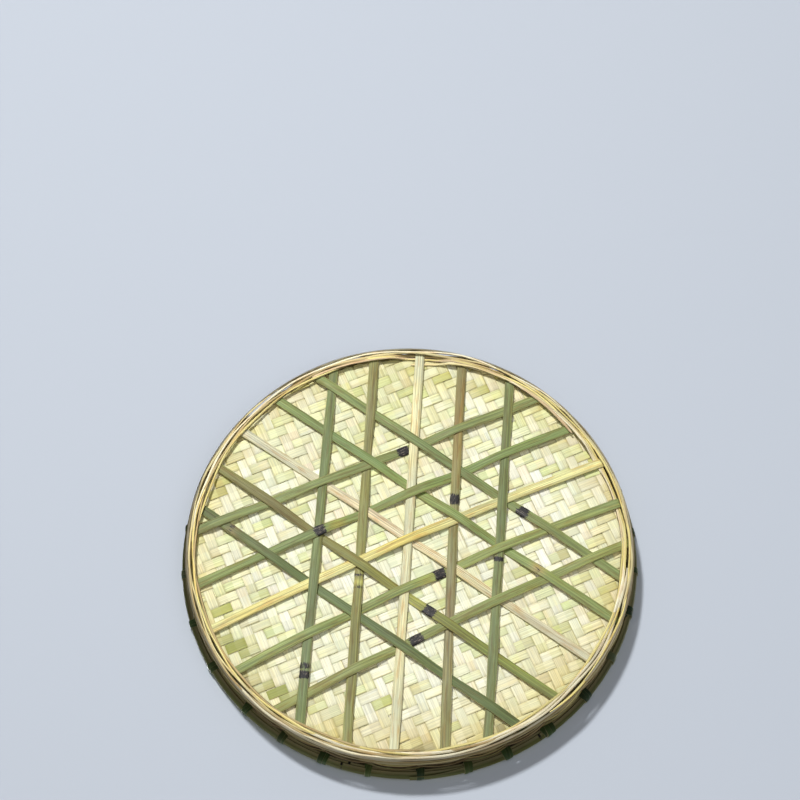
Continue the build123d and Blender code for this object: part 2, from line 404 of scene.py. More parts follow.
# Places where the mat's colour differs: (x, y, reach, colour, share, families). The near-white patches are
# painted highlights.
MAT_PATCHES = [
    (111, -133, 18, DEEP_OLIVE, 1.0, "weft"), (148, -94, 19, DEEP_OLIVE, 0.95, "weft"),
    (90, -150, 12, DEEP_OLIVE, 0.5, "weft"), (160, -70, 12, DEEP_OLIVE, 0.5, "weft"),
    (-105, 30, 60, PAINTED_HIGHLIGHT_WHITE, 0.55, "warp"), (-30, -110, 45, PAINTED_HIGHLIGHT_WHITE, 0.4, "warp"),
    (120, 20, 50, PAINTED_HIGHLIGHT_WHITE, 0.3, "warp"), (0, -60, 90, PAINTED_HIGHLIGHT_WHITE, 0.25, BOTH),
    (10, 150, 40, OLIVE_WEFT, 0.25, BOTH), (-120, -120, 40, EDGE_TAN, 0.3, BOTH),
    (0, -182, 30, EDGE_TAN, 0.5, BOTH), (60, -174, 26, EDGE_TAN, 0.5, BOTH),
    (-64, -172, 26, EDGE_TAN, 0.5, BOTH), (-175, -50, 24, EDGE_TAN, 0.4, BOTH),
    # Small dark brown spots near the foot: painted shade, as of holes.
    (-12, -181, 6, HOLE_SHADE_BROWN, 0.9, BOTH), (139, -121, 7, HOLE_SHADE_BROWN, 0.85, BOTH),
    (103, -157, 6, HOLE_SHADE_BROWN, 0.8, BOTH), (-75, -163, 7, HOLE_SHADE_BROWN, 0.6, BOTH),
]

MAT_LOW, MAT_HIGH = box_mm("mat")
MAT_CORNER_R = MAT_HIGH[0] - MAT_CORNER
MAT_MID_Z = MAT_LOW[2] + MAT_THICK / 2
CORNER_MID = MAT_CORNER - MAT_THICK / 2
CORNER_RUN = CORNER_MID * math.pi / 2
FLAT_R = MAT_CORNER_R + CORNER_RUN + (MAT_HIGH[2] - MAT_TRIM) - (MAT_LOW[2] + MAT_CORNER)


def dish(flat, height):
    """Points of the flat sheet bent up into the tray: flat is (x, y), height is how far out of the sheet."""
    reach = np.minimum(np.hypot(flat[..., 0], flat[..., 1]), FLAT_R)
    heading = np.arctan2(flat[..., 1], flat[..., 0])
    turn = np.clip((reach - MAT_CORNER_R) / CORNER_MID, 0, math.pi / 2)
    rise = np.maximum(reach - MAT_CORNER_R - CORNER_RUN, 0)
    radius = np.minimum(reach, MAT_CORNER_R) + CORNER_MID * np.sin(turn) + height * np.sin(turn)
    level = MAT_MID_Z + CORNER_MID * (1 - np.cos(turn)) + rise - height * np.cos(turn)
    return np.stack([radius * np.cos(heading), radius * np.sin(heading), level], axis=-1)


def lay_out(rng, shake, gaps, middle):
    """The edges of a family's splints across the sheet, as {number: (low edge, high edge)}.

    middle is where number 0 lies, since the sheet's centre isn't the weave's.
    """
    low = math.floor((-FLAT_R - middle) / MAT_PITCH) - 1
    high = math.ceil((FLAT_R - middle) / MAT_PITCH) + 1
    borders = {n: middle + (n - 0.5) * MAT_PITCH + rng.uniform(-shake, shake) for n in range(low, high + 2)}
    return {n: (borders[n] + rng.uniform(*gaps), borders[n + 1] - rng.uniform(*gaps))
            for n in range(low, high + 1)}


def is_over(warp, weft):
    """True where the warp lies outside the weft: over two, under two, turned about the weave's centre."""
    return (abs(warp) + abs(weft)) % 4 < 2


def splint_rise(rng, flags):
    """Heights along a splint, in six steps for every splint that it crosses."""
    heights = []
    for place, over in enumerate(flags):
        before = flags[place - 1] if place else over
        after = flags[place + 1] if place + 1 < len(flags) else over
        rises = list(CELL_RISE)
        if before == over:
            rises[:3] = CELL_STAY[0]
        if after == over:
            rises[4:] = CELL_STAY[1]
        level = (1 if over else -1) * rng.uniform(0.9, 1.08)
        heights += [level * rise for rise in rises]
    return np.array(heights) * SPLINT_RISE


def crossings(middle, heading, other_heading, rows):
    """Where the other family's splints cross one at this offset: (low, high, number) of each, in order."""
    turn = math.radians(other_heading + 90 - heading)
    found = []
    for number, edges in rows.items():
        low, high = sorted((edge - middle * math.sin(turn)) / math.cos(turn) for edge in edges)
        found.append((low, high, number))
    return sorted(found)


def per_cell(values):
    """A value for each step of a splint, from one for each splint that it crosses."""
    return np.repeat(values, len(CELL_STEPS), axis=0)


def patch_tint(tint, family, x, y):
    """The same colours, changed where a patch of another colour lies."""
    for patch_x, patch_y, reach, colour, share, families in MAT_PATCHES:
        if family in families:
            gap = (x - patch_x)**2 + (y - patch_y)**2
            tint = blend(tint, colour, share * np.exp(-gap / reach**2)[:, None])
    return tint


def add_splint(strips, rng, family, edges, rows, over, colours):
    """One splint of the mat, from rim to rim. over holds the numbers of the splints that it passes over."""
    heading = HEADINGS[family]
    low, high = edges
    middle, half = (low + high) / 2, (high - low) / 2
    reach = math.sqrt(FLAT_R**2 - max(abs(middle) - half, 0)**2)
    cells = [cell for cell in crossings(middle, heading, HEADINGS[OTHER[family]], rows)
             if cell[1] > -reach and cell[0] < reach]
    borders = [(after[0] + before[1]) / 2 for before, after in zip(cells, cells[1:])]
    borders = [borders[0] - MAT_PITCH, *borders, borders[-1] + MAT_PITCH]
    along = np.concatenate([start + np.array(CELL_STEPS) * (end - start)
                            for start, end in zip(borders, borders[1:])])
    rise = splint_rise(rng, [number in over for _, _, number in cells])
    tones = per_cell([rng.uniform(*SPLINT_TONES) for _ in cells])
    # Painted shade: each splint is darkened where it dives under a splint that it crosses.
    tones *= 1 - CREASE_SHADE * (1 - smooth(np.abs(rise), 0, SPLINT_RISE * 0.9))
    tilt = per_cell([rng.uniform(-SPLINT_TILT, SPLINT_TILT) for _ in cells])
    keep = np.abs(along) <= reach
    along, rise, tones, tilt = along[keep], rise[keep], tones[keep], tilt[keep]

    shift = wander(rng, 0.3, 160)(along)
    across = half * MAT_SECTION[:, 0]
    direction, sideways = (vector[:2] for vector in headed(math.radians(heading)))
    flat = along[:, None, None] * direction + (middle + shift[:, None] + across)[..., None] * sideways
    height = rise[:, None] + SPLINT_THICK * MAT_SECTION[:, 1] + tilt[:, None] * MAT_SECTION[:, 0]
    points = dish(flat, height)
    drift = np.clip(0.5 + wander(rng, 0.8, 240)(along), 0, 1)[:, None]
    odd = per_cell([rng.choice(ODD_COLOURS) for _ in cells])[keep]
    tint = blend(blend(*colours, drift), odd, ODD_SHARE) * tones[:, None]
    edge = smooth(np.hypot(along, middle), TAN_FROM, TAN_TO)[:, None] * rng.uniform(*TAN_SHARES)
    tint = blend(tint, EDGE_TAN, edge)
    # One place for each cell, so that a patch of colour changes whole floats and not parts of them.
    cell = per_cell([(low + high) / 2 for low, high in zip(borders, borders[1:])])[keep]
    tint = patch_tint(tint, family, cell * direction[0] + middle * sideways[0],
                      cell * direction[1] + middle * sideways[1])
    strips.add_grid(points, along, np.broadcast_to(across, points.shape[:2]), MAT_SECTION, tint,
                    rng.uniform(0, 90), np.zeros(len(along)))


def make_mat(material):
    """Both families of splints, in a few pieces each."""
    rng = random.Random("mat")
    rows = {}
    for family, heading in HEADINGS.items():
        angle = math.radians(heading)
        middle = Vector(WEAVE_CENTRE).dot(Vector((-math.sin(angle), math.cos(angle))))
        rows[family] = lay_out(rng, *UNEVENNESS[family], middle)
    for family, other in OTHER.items():
        colours = SPLINT_COLOURS[family]
        present = [n for n in sorted(rows[family]) if min(map(abs, rows[family][n])) < FLAT_R - 1]
        share = math.ceil(len(present) / PIECES_PER_FAMILY)
        for part in range(PIECES_PER_FAMILY):
            strips = Strips()
            for number in present[part * share:(part + 1) * share]:
                over = {n for n in rows[other] if is_over(number, n) == (family == "warp")}
                colour = rng.choice(colours)
                if family == "weft" and rng.random() < OLIVE_CHANCE:
                    colour = OLIVE_WEFT
                add_splint(strips, rng, family, rows[family][number], rows[other], over,
                           (colour, rng.choice(colours)))
            strips.piece(f"mat_{family}_{part + 1}", material, "mat")


# ---- ribs

RIB_THICK = 1.8
RIB_HALF_WIDTH = 4.0
RIB_STEP = 1.6  # between a rib's points
RIB_WARMER = (1.25, 1.12, 0.85)
STAKE_R = 191.0
STAKE_AHEAD = 9  # a stake stands where its rib would come to, this far beyond its run
STAKE_STEPS = 8
RUN_END_R = 183.0  # where a rib starts to turn up into a stake
TURN_STEPS = 12
TURN_PULL = (5.5, 5.0)  # how far the curve up into a stake keeps to the rib's way, and to the stake's
BEND_TOP_Z = 10.0
BEND_REACH = 7.0  # how far along a rib each of its bends is spread
# For each rib, its colour, its slot and its bow: how far its middle stands towards +Y or +X of its straight
# line, which lies where the CAD rib does. Then its stretches of another colour, (x, y, reach, colour, share),
# and its bamboo's nodes, (x, y, how dark, half length).
RIBS = {
    "a1": ((121, 136, 84), "rib_green", 0, [(78, 60, 50, (122, 138, 78), 0.5),
           (88, -60, 60, (118, 132, 92), 0.6)],
           [(90, -118, 1.0, 3.0), (90, -110, 0.62, 2.8)]),
    # a2's pale band across its node, between its two node stains, is a painted highlight on the node's ridge.
    "a2": ((142, 144, 84), "rib_olive", 0, [(42, -33, 2.6, (206, 206, 118), 0.9),
           (40, -70, 45, (140, 138, 78), 0.5),
           (38, 120, 60, (146, 142, 96), 0.5)],
           [(42, -26, 0.6, 1.4), (42, -38, 0.55, 1.2)]),
    "a3": ((226, 226, 186), "rib_pale", 0, [], []),
    "a4": ((147, 148, 95), "rib_olive", 1.5, [(-38, 115, 55, (152, 128, 70), 0.7),
           (-48, -70, 60, (150, 138, 108), 0.6)], [(-38, 45, 1.0, 4.2)]),
    "a5": ((125, 136, 82), "rib_green", 0, [(-78, -90, 60, (118, 134, 92), 0.6),
           (-74, 60, 50, (112, 128, 78), 0.6)], [(-75, -12, 1.0, 1.8)]),
    "b1": ((136, 152, 90), "rib_green", 1.0, [(-30, 72, 55, (112, 132, 84), 0.6),
           (-130, 10, 50, (132, 142, 80), 0.6)], [(-100, 34, 0.9, 5.0)]),
    "b2": ((138, 158, 92), "rib_green", 0, [(-111, -21, 7, (198, 182, 122), 0.8),
           (-150, -50, 45, (140, 150, 84), 0.6),
           (60, 90, 60, (116, 140, 78), 0.5)], [(-111, -21, 0.35, 3.0)]),
    "b3": ((218, 216, 182), "rib_pale", 1.3, [(20, 38, 60, (232, 212, 172), 0.6),
           (-110, -60, 40, (210, 198, 160), 0.5)], []),
    "b4": ((136, 140, 74), "rib_olive", 0, [(-8, -48, 9, (172, 176, 84), 0.8),
           (-85, -105, 55, (128, 142, 62), 0.8),
           (100, 50, 60, (132, 122, 76), 0.7)], [(-20, -56, 1.0, 4.6)]),
    "b5": ((98, 114, 62), "rib_green", 0, [(151, 20, 6, (176, 156, 104), 0.7),
           (60, -60, 60, (112, 132, 78), 0.6),
           (140, 10, 40, (98, 108, 70), 0.5)], [(154, 19, 0.42, 3.0)]),
    "c1": ((138, 152, 92), "rib_green", 0, [(40, 80, 50, (120, 134, 76), 0.5),
           (-90, 140, 60, (138, 148, 84), 0.6)],
           [(6, 94, 1.0, 4.8)]),
    "c2": ((133, 150, 88), "rib_green", 2.0, [(64, 21, 9, (186, 188, 92), 0.8),
           (110, 0, 50, (114, 134, 76), 0.6),
           (-70, 85, 60, (134, 156, 84), 0.6)], [(79, 15, 1.0, 4.4)]),
    "c3": ((228, 226, 160), "rib_yellow", 5.4, [(5, 6, 42, (230, 212, 112), 0.8),
           (120, -55, 45, (226, 212, 126), 0.7)], []),
    "c4": ((150, 165, 97), "rib_green", 7.3, [(-13, -29, 9, (176, 182, 96), 0.7),
           (40, -70, 60, (126, 142, 82), 0.5),
           (-110, 5, 60, (146, 154, 84), 0.5)], [(-25, -24, 1.0, 4.6)]),
    "c5": ((148, 159, 92), "rib_green", 4.0, [(-60, -50, 50, (134, 146, 78), 0.5),
           (60, -120, 50, (144, 152, 96), 0.5)],
           [(-5, -84, 1.0, 5.2)]),
}
# A node's swelling and its two fine ridges: (how much thicker, how far along from the node, half length)
NODE_RIDGES = [(0.10, 0.0, 6.0), (0.16, 0.0, 0.9), (0.12, 2.2, 0.8)]


def read_rib(name):
    """A rib's line, read from its CAD node: direction, side, offset, and its underside's corners."""
    points = cad_points("rib_" + name)
    tops = points[points[:, 2] > points[:, 2].max() - 0.1]
    reach = np.hypot(points[:, 0], points[:, 1])
    first = tops[tops @ tops[0] > 0].mean(axis=0)[:2]
    last = tops[tops @ tops[0] <= 0].mean(axis=0)[:2]
    direction = (last - first) / np.linalg.norm(last - first)
    side = np.array([-direction[1], direction[0]])
    offset = (last + first) @ side / 2
    end = math.sqrt(RUN_END_R**2 - offset**2)
    end_level = points[reach > RUN_END_R + 4, 2].min()
    corners = {-end: end_level, end: end_level}
    for along, height in zip(np.round(points @ [*direction, 0], 1), points[:, 2]):
        if abs(along) < end - 0.5:
            corners[along] = min(corners.get(along, height), height)
    places = np.array(sorted(corners))
    return direction, side, offset, places, np.array([corners[place] for place in places])


def rib_heights(along, places, levels):
    """The underside of a rib: level at each crossing and straight between, with its bends eased."""
    offsets = np.linspace(-BEND_REACH, BEND_REACH, 9)
    weights = 1 + np.cos(math.pi * offsets / (BEND_REACH * 1.1))
    spread = np.interp(along[:, None] + offsets, places, levels)
    return (spread * weights).sum(axis=1) / weights.sum()


def rib_plan(direction, side, offset, bow, along):
    """Points of a rib's middle line seen from above, with its bow."""
    half = math.sqrt(STAKE_R**2 - offset**2)
    towards = np.sign(side[1] if abs(side[1]) > abs(side[0]) else side[0])
    shift = bow * towards * (1 - (along / half)**2 - 2 / 3)
    return along[:, None] * direction + (offset + shift)[:, None] * side


def stake_run(start, direction, low_z):
    """The turned-up end of a rib: its middle line, side and out vectors, and heading in degrees."""
    heading = math.atan2(start[1] + direction[1] * STAKE_AHEAD, start[0] + direction[0] * STAKE_AHEAD)
    radial = headed(heading)[0]
    flat = np.array([*direction, 0])
    begin = np.array([start[0], start[1], low_z])
    foot = radial * STAKE_R + UP * BEND_TOP_Z
    top = radial * STAKE_R + UP * STAKE_TOP_Z
    part = np.linspace(0, 1, TURN_STEPS + 1)[1:, None]
    turn = ((1 - part)**3 * begin + 3 * (1 - part)**2 * part * (begin + flat * TURN_PULL[0])
            + 3 * (1 - part) * part**2 * (foot - UP * TURN_PULL[1]) + part**3 * foot)
    stake = foot + (top - foot) * np.linspace(0, 1, STAKE_STEPS + 1)[1:, None]
    turned = smooth(np.concatenate([part, np.ones((STAKE_STEPS, 1))]), 0, 1)
    facing = unit(blend(flat, radial, turned))
    tip = turned * math.pi / 2
    out = facing * np.sin(tip) - UP * np.cos(tip)
    return np.concatenate([turn, stake]), np.cross(UP, facing), out, math.degrees(heading) % 360


def node_shape(along, nodes):
    """Along a strip: how much thicker and wider the nodes make it, and how dark they stain it."""
    swell, stain = np.zeros(len(along)), np.zeros(len(along))
    for place, dark, half in nodes:
        for share, shift, reach in NODE_RIDGES:
            swell += share * np.exp(-((along - place - shift) / reach)**2)
        stain = np.maximum(stain, dark * (1 - smooth(np.abs(along - place), half * 0.45, half * 1.75)))
    return swell, stain


def make_rib(name, material):
    """A rib: its waved run across the bottom and both stakes, as one strip. Returns its stakes' headings."""
    rng = random.Random("rib " + name)
    rgb, slot, bow, patches, marks = RIBS[name]
    direction, side, offset, places, levels = read_rib(name)
    half = math.sqrt(RUN_END_R**2 - offset**2)
    along = np.linspace(-half, half, int(2 * half / RIB_STEP))
    plan = rib_plan(direction, side, offset, bow, along) + wander(rng, 0.18, 150)(along)[:, None] * side
    run = np.column_stack([plan, rib_heights(along, places, levels) + RIB_THICK / 2])
    slope = unit(np.gradient(run, axis=0))
    sides = unit(np.cross(UP, slope))
    first = stake_run(plan[0], -slope[0, :2] / np.linalg.norm(slope[0, :2]), run[0, 2])
    last = stake_run(plan[-1], slope[-1, :2] / np.linalg.norm(slope[-1, :2]), run[-1, 2])
    centre = np.concatenate([first[0][::-1], run, last[0]])
    outs = np.concatenate([first[2][::-1], np.cross(sides, slope), last[2]])
    sides = np.concatenate([-first[1][::-1], sides, last[1]])
    track = run_lengths(centre)
    track += along[0] - track[len(first[0])]

    nodes = [(float(np.dot([x, y], direction)), dark, reach) for x, y, dark, reach in marks]
    swell, stain = node_shape(track, nodes)
    half_width = (RIB_HALF_WIDTH + wander(rng, 0.3, 90)(track)) * (1 + swell * 0.35)
    tone = 1 + wander(rng, 0.10, 170)(track)
    warmer = np.clip(wander(rng, 0.5, 260)(track), 0, 1)[:, None]
    tint = blend(srgb(*rgb) * tone[:, None], srgb(*rgb) * RIB_WARMER, warmer)
    for x, y, reach, colour, share in patches:
        gap = track - np.dot([x, y], direction)
        tint = blend(tint, srgb(*colour), share * np.exp(-(gap / reach)**2)[:, None])
    strips = Strips()
    strips.add(centre, sides, outs, half_width, RIB_THICK * (1 + swell), RIB_SECTION, track, tint,
               rng.uniform(0, 90), stain)
    strips.piece("slat_" + name, material, "rib_" + name)
    return first[3], last[3]


# ---- strands

# One side of the rings is painted paler and the opposite side darker, by this share at most: painted light and
# shade.
SIDE_LIGHT_SHARE = 0.12
LIT_SIDE_HEADING = 50.0
RING_STEP = 0.9  # degrees between a ring's points
END_THICK = 0.25  # a splint's ends are this share as thick and as wide as the rest
END_WIDTH = 0.45
END_TAPER = 14.0


def ring_strip(strips, rng, start, sweep, radius, level, roll, half_width, thick, tint, taper=END_TAPER):
    """A splint laid round the centre, from a heading through a sweep, in degrees.

    radius, level and roll are functions of the heading in degrees. Roll 0 faces away from the centre and 90
    faces down. The splint thins over its last taper millimetres at each end.
    """
    headings = np.linspace(start, start + sweep, int(sweep / RING_STEP) + 1)
    angle = np.radians(headings)
    radii = radius(headings)
    line = np.column_stack([radii * np.cos(angle), radii * np.sin(angle), level(headings)])
    tangent = unit(np.gradient(line, axis=0))
    radial = unit(np.cross(tangent, UP))
    tip = np.radians(roll(headings))[:, None]
    out = radial * np.cos(tip) - np.cross(radial, tangent) * np.sin(tip)
    track = run_lengths(line)
    from_end = np.minimum(track, track[-1] - track)
    thin = END_THICK + (1 - END_THICK) * smooth(from_end, 0, taper)
    slim = END_WIDTH + (1 - END_WIDTH) * smooth(from_end, 0, taper * 0.6)
    uneven = 1 + wander(rng, 0.12, 70)(track)
    # Painted light and shade: the strip is paler on one side of the basket and darker on the other.
    tone = 1 + wander(rng, 0.12, 150)(track) + SIDE_LIGHT_SHARE * np.cos(np.radians(headings - LIT_SIDE_HEADING))
    strips.add(line, np.cross(tangent, out), out, half_width * slim * uneven, thick * thin, STRAND_SECTION,
               track, tint * tone[:, None], rng.uniform(0, 90))


def about(rng, value, reach, wavelength):
    """A function of the heading that wanders about this value; the wavelength is in degrees."""
    curve = wander(rng, reach, wavelength)
    return lambda headings: value + curve(headings)


def tucked(curve, start, drop, over=24.0):
    """The same curve, but moved by drop at its start, where it lies under the end of the splint before."""
    def moved(headings):
        return curve(headings) + drop * (1 - smooth(headings, start + over * 0.8, start + over * 1.5))
    return moved


# The outer splints of the foot: (radius, height of middle, roll, half width, colour). Each is two lengths, whose
# ends lie over each other through OVERLAP_SWEEP.
OUTER_FOOT = [
    (192.3, 1.4, 62, 0.95, CREAM_STRAW),
    (193.0, 3.2, 30, 0.95, TAN_STRAW),
    (193.5, 5.1, 6, 1.00, STRAW),
]
OVERLAP_SWEEP = 24.0
FOOT_THICK = 1.3
# Rib ends that lie over the inner strand, as headings: the strand passes behind them, against the mat.
LIFTED_AT = (93.5, 156.5, 166.0)
LIFTED_Z = 5.35
# Two inner splints whose blunt ends stand free of the ring: (start, sweep, radii and headings, colour)
LOOSE_SPLINTS = [
    (90.3, 88, [(90, 179.4), (95, 180.4), (108, 184.0), (180, 185.6)], STRAW),
    (62.0, 81, [(62, 186.2), (118, 184.6), (130, 182.6), (143, 180.3)], PINK_STRAW),
]
LOOSE_Z = 0.8
# The other two strands are fans of splints that start inside and drift outwards, one beside the other:
# (node, count, sweep, first radius, last radius, colours, loose splints)
FOOT_FANS = [
    ("foot_strand_1", 4, 196.0, 183.9, 187.0,
     [YELLOW_STRAW, CREAM_STRAW, YELLOW_STRAW, TAN_STRAW], LOOSE_SPLINTS),
    ("foot_strand_2", 6, 122.0, 188.2, 191.4,
     [CREAM_STRAW, STRAW, YELLOW_STRAW, CREAM_STRAW, TAN_STRAW, STRAW], []),
]
FAN_ROLL = 74
FAN_TAPER = 26
FAN_LEVEL = 1.1
# A fan's splints twine: each swings in and out past one stake after another, over and under its neighbours.
TWINE_REACH = 0.6
TWINE_RISE = 0.35
# How far the foot stands out of round, as (heading, distance)
OUT_OF_ROUND = [(0, 0.2), (45, 0.7), (72, 1.2), (92, 0.7), (115, 0.0), (140, -0.8), (180, 0.0), (235, -0.4),
                (270, 0.5), (297, 1.2), (325, 0.8), (345, 0.0)]


def lifted(level):
    """Heights that are this level, but behind the rib ends that lie over the inner strand."""
    def curve(headings):
        height = level(headings)
        for centre in LIFTED_AT:
            gap = np.abs((headings - centre + 180) % 360 - 180)
            height = height + (LIFTED_Z - height) * (1 - smooth(gap, 3.4, 9.0))
        return height
    return curve


def out_of_round(headings):
    """How far the foot stands outside its circle at these headings."""
    turns, offsets = zip(*OUT_OF_ROUND)
    return np.interp(headings, turns, offsets, period=360)


def make_outer_foot(material):
    """The outer strand of the foot, against the stakes."""
    strips = Strips()
    for base_r, level, roll, half_width, colour in OUTER_FOOT:
        rng = random.Random(f"foot {base_r}")
        begin = rng.uniform(0, 360)
        curve = wander(rng, 0.25, 75)

        def radius(headings):
            return base_r + curve(headings % 360) + out_of_round(headings)
        for start in (begin, begin + 180):
            ring_strip(strips, rng, start, 180 + OVERLAP_SWEEP, tucked(radius, start, 0.5),
                       tucked(about(rng, level, 0.12, 50), start, 0.9), about(rng, roll, 8, 60), half_width,
                       FOOT_THICK, colour * rng.uniform(0.92, 1.05))
    strips.piece("foot_strand_3_splints", material, "foot_strand_3")


def make_foot_fan(material, node, count, full_sweep, first_r, last_r, colours, loose_splints):
    """An inner strand of the foot. The one with loose splints passes behind some of the rib ends."""
    rng = random.Random(node)
    strips = Strips()
    for number in range(count):
        start = number * 360 / count + rng.uniform(-9, 9)
        sweep = full_sweep + rng.uniform(-14, 14)
        low, high = first_r + rng.uniform(-0.3, 0.4), last_r + rng.uniform(-0.4, 0.3)
        sway = wander(rng, 0.5, 30)
        lag = math.pi * number + rng.uniform(-0.5, 0.5)

        def twist(headings):
            return np.radians(headings) * len(RIBS) + lag

        def radius(headings):
            drift = (high - low) * smooth(headings, start + 8, start + sweep * 0.9)
            twine = TWINE_REACH * np.sin(twist(headings))
            return low + drift + sway(headings) + out_of_round(headings) + twine

        def level(headings):
            return FAN_LEVEL + TWINE_RISE * np.cos(twist(headings))
        ring_strip(strips, rng, start, sweep, radius, lifted(level) if loose_splints else level,
                   about(rng, FAN_ROLL, 14, 40), rng.uniform(0.95, 1.2), FOOT_THICK,
                   colours[number % len(colours)] * rng.uniform(0.9, 1.05), FAN_TAPER)
    for start, sweep, route, colour in loose_splints:
        turns, radii = zip(*route)
        ring_strip(strips, rng, start, sweep, lambda headings: np.interp(headings, turns, radii),
                   lifted(lambda headings: np.full(len(headings), LOOSE_Z)), about(rng, 80, 6, 40), 1.2, 1.2,
                   colour, taper=2.0)
    strips.piece(node + "_splints", material, node)


# Each wall strand is a pair of fine splints, lower and upper, in two lengths each. The upper splints' browns and
# dark straws are partly the strands' own colour and partly painted shade, as of the dark gaps between the
# strands.
WALL_COLOURS = [(STRAW, TAN_STRAW), (STRAW, DARK_STRAW), (YELLOW_STRAW, BROWN_STRAW), (TAN_STRAW, DARK_STRAW),
                (GREEN_STRAW, BROWN_STRAW)]
WALL_LEVELS = (0.24, 0.77)  # of the strand's height
WALL_THICK = 1.9
WALL_HALF_WIDTH = 0.84
WALL_OVERLAP = 14
WEAVE_GAP = 0.12  # between a stake and the strand that passes it
WEAVE_HOLD = 1.08  # degrees each side of a stake that a strand keeps to one side


def weave_radius(stakes, first, reach):
    """A radius that swings outside one stake and inside the next."""
    stakes = np.array(stakes)

    def curve(headings):
        turned = headings % 360
        after = np.searchsorted(stakes, turned) % len(stakes)
        before = (after - 1) % len(stakes)
        gap = (stakes[after] - stakes[before]) % 360
        part = smooth((turned - stakes[before]) % 360, WEAVE_HOLD, gap - WEAVE_HOLD)
        swing = np.where((before + first) % 2, 1, -1) * (1 - 2 * part)
        return STAKE_R + reach * swing
    return curve


def make_wall(stakes, material):
    """The wall strands, woven in and out of the stakes."""
    for number, colours in enumerate(WALL_COLOURS):
        rng = random.Random(f"wall {number}")
        node = f"wall_strand_{number + 1}"
        low, high = box_mm(node)
        weave = weave_radius(stakes, number, RIB_THICK / 2 + WEAVE_GAP + WALL_THICK / 2)
        strips = Strips()
        for share, colour in zip(WALL_LEVELS, colours):
            level = low[2] + (high[2] - low[2]) * share
            begin = rng.uniform(0, 360)
            for start in (begin, begin + 180):
                push = wander(rng, 0.12, 40)
                ring_strip(strips, rng, start, 180 + WALL_OVERLAP,
                           lambda headings: weave(headings) + push(headings),
                           tucked(about(rng, level, 0.22, 40), start, 0.35, WALL_OVERLAP),
                           about(rng, 0, 8, 30), WALL_HALF_WIDTH, WALL_THICK, colour * rng.uniform(0.9, 1.06))
        strips.piece(node + "_splints", material, node)


# ---- the rim

HOOP_LOW, HOOP_HIGH = box_mm("rim_hoop_outer")
INNER_R = box_mm("rim_hoop_inner")[1][0]
FILLER_R = box_mm("rim_filler")[1][0] - 1.25  # the middle of the filler between the mat and the stakes
HOOP_MID_Z = (HOOP_LOW[2] + HOOP_HIGH[2]) / 2
HOOP_TALL = HOOP_HIGH[2] - HOOP_LOW[2]
STAKE_TOP_Z = HOOP_HIGH[2] - 1.6
OUTER_THICK = 4.4  # the half-round outer splint of the outer hoop
LINER_THICK = 2.3  # the flat splint behind it
LINER_GAP = 0.15
INNER_THICK = 3.6
HOOP_STEP = 0.8  # degrees between a hoop's points
SCARF_SWEEP = 20.0  # degrees over which the ends of a hoop lie on each other
SCARF_THIN = 0.06  # how thin each end gets there, as a share
FILLER_ROWS = [(28.1, STRAW), (30.6, GREEN_STRAW), (33.0, TAN_STRAW)]
FILLER_SWEEP = 366


def hoop(strips, rng, start, low_r, high_r, roll, tall, section, tint, node_count):
    """A hoop whose two ends are thinned and laid on each other. Roll 0 faces outwards, 180 inwards."""
    thick = high_r - low_r
    sweep = 360 + SCARF_SWEEP
    headings = np.linspace(start, start + sweep, int(sweep / HOOP_STEP) + 1)
    begin = smooth(headings - start, 0, SCARF_SWEEP)
    end = smooth(headings - start, 360, sweep)
    share = (SCARF_THIN + (1 - SCARF_THIN) * begin) * (1 - (1 - SCARF_THIN) * end)
    facing = math.cos(math.radians(roll))
    inner = low_r if facing > 0 else high_r
    middle = inner + facing * thick * (share / 2 + np.where(headings - start > 180, 1 - share, 0))
    angle = np.radians(headings)
    cosine, sine, flat = np.cos(angle), np.sin(angle), np.zeros(len(angle))
    line = np.column_stack([middle * cosine, middle * sine, HOOP_MID_Z + wander(rng, 0.15, 60)(headings)])
    out = np.column_stack([cosine, sine, flat]) * facing
    side = np.cross(np.column_stack([-sine, cosine, flat]), out)
    track = np.radians(headings - start) * low_r
    spots = [((k + rng.uniform(0.2, 0.8)) * track[-1] / node_count, 0.45, 1.6) for k in range(node_count)]
    swell, stain = node_shape(track, spots)
    tone = 1 + wander(rng, 0.14, 190)(track)
    strips.add(line, side, out, tall / 2 * (1 + swell * 0.12), thick * share * (1 + swell * 0.08), section,
               track, tint * tone[:, None], rng.uniform(0, 90), stain)


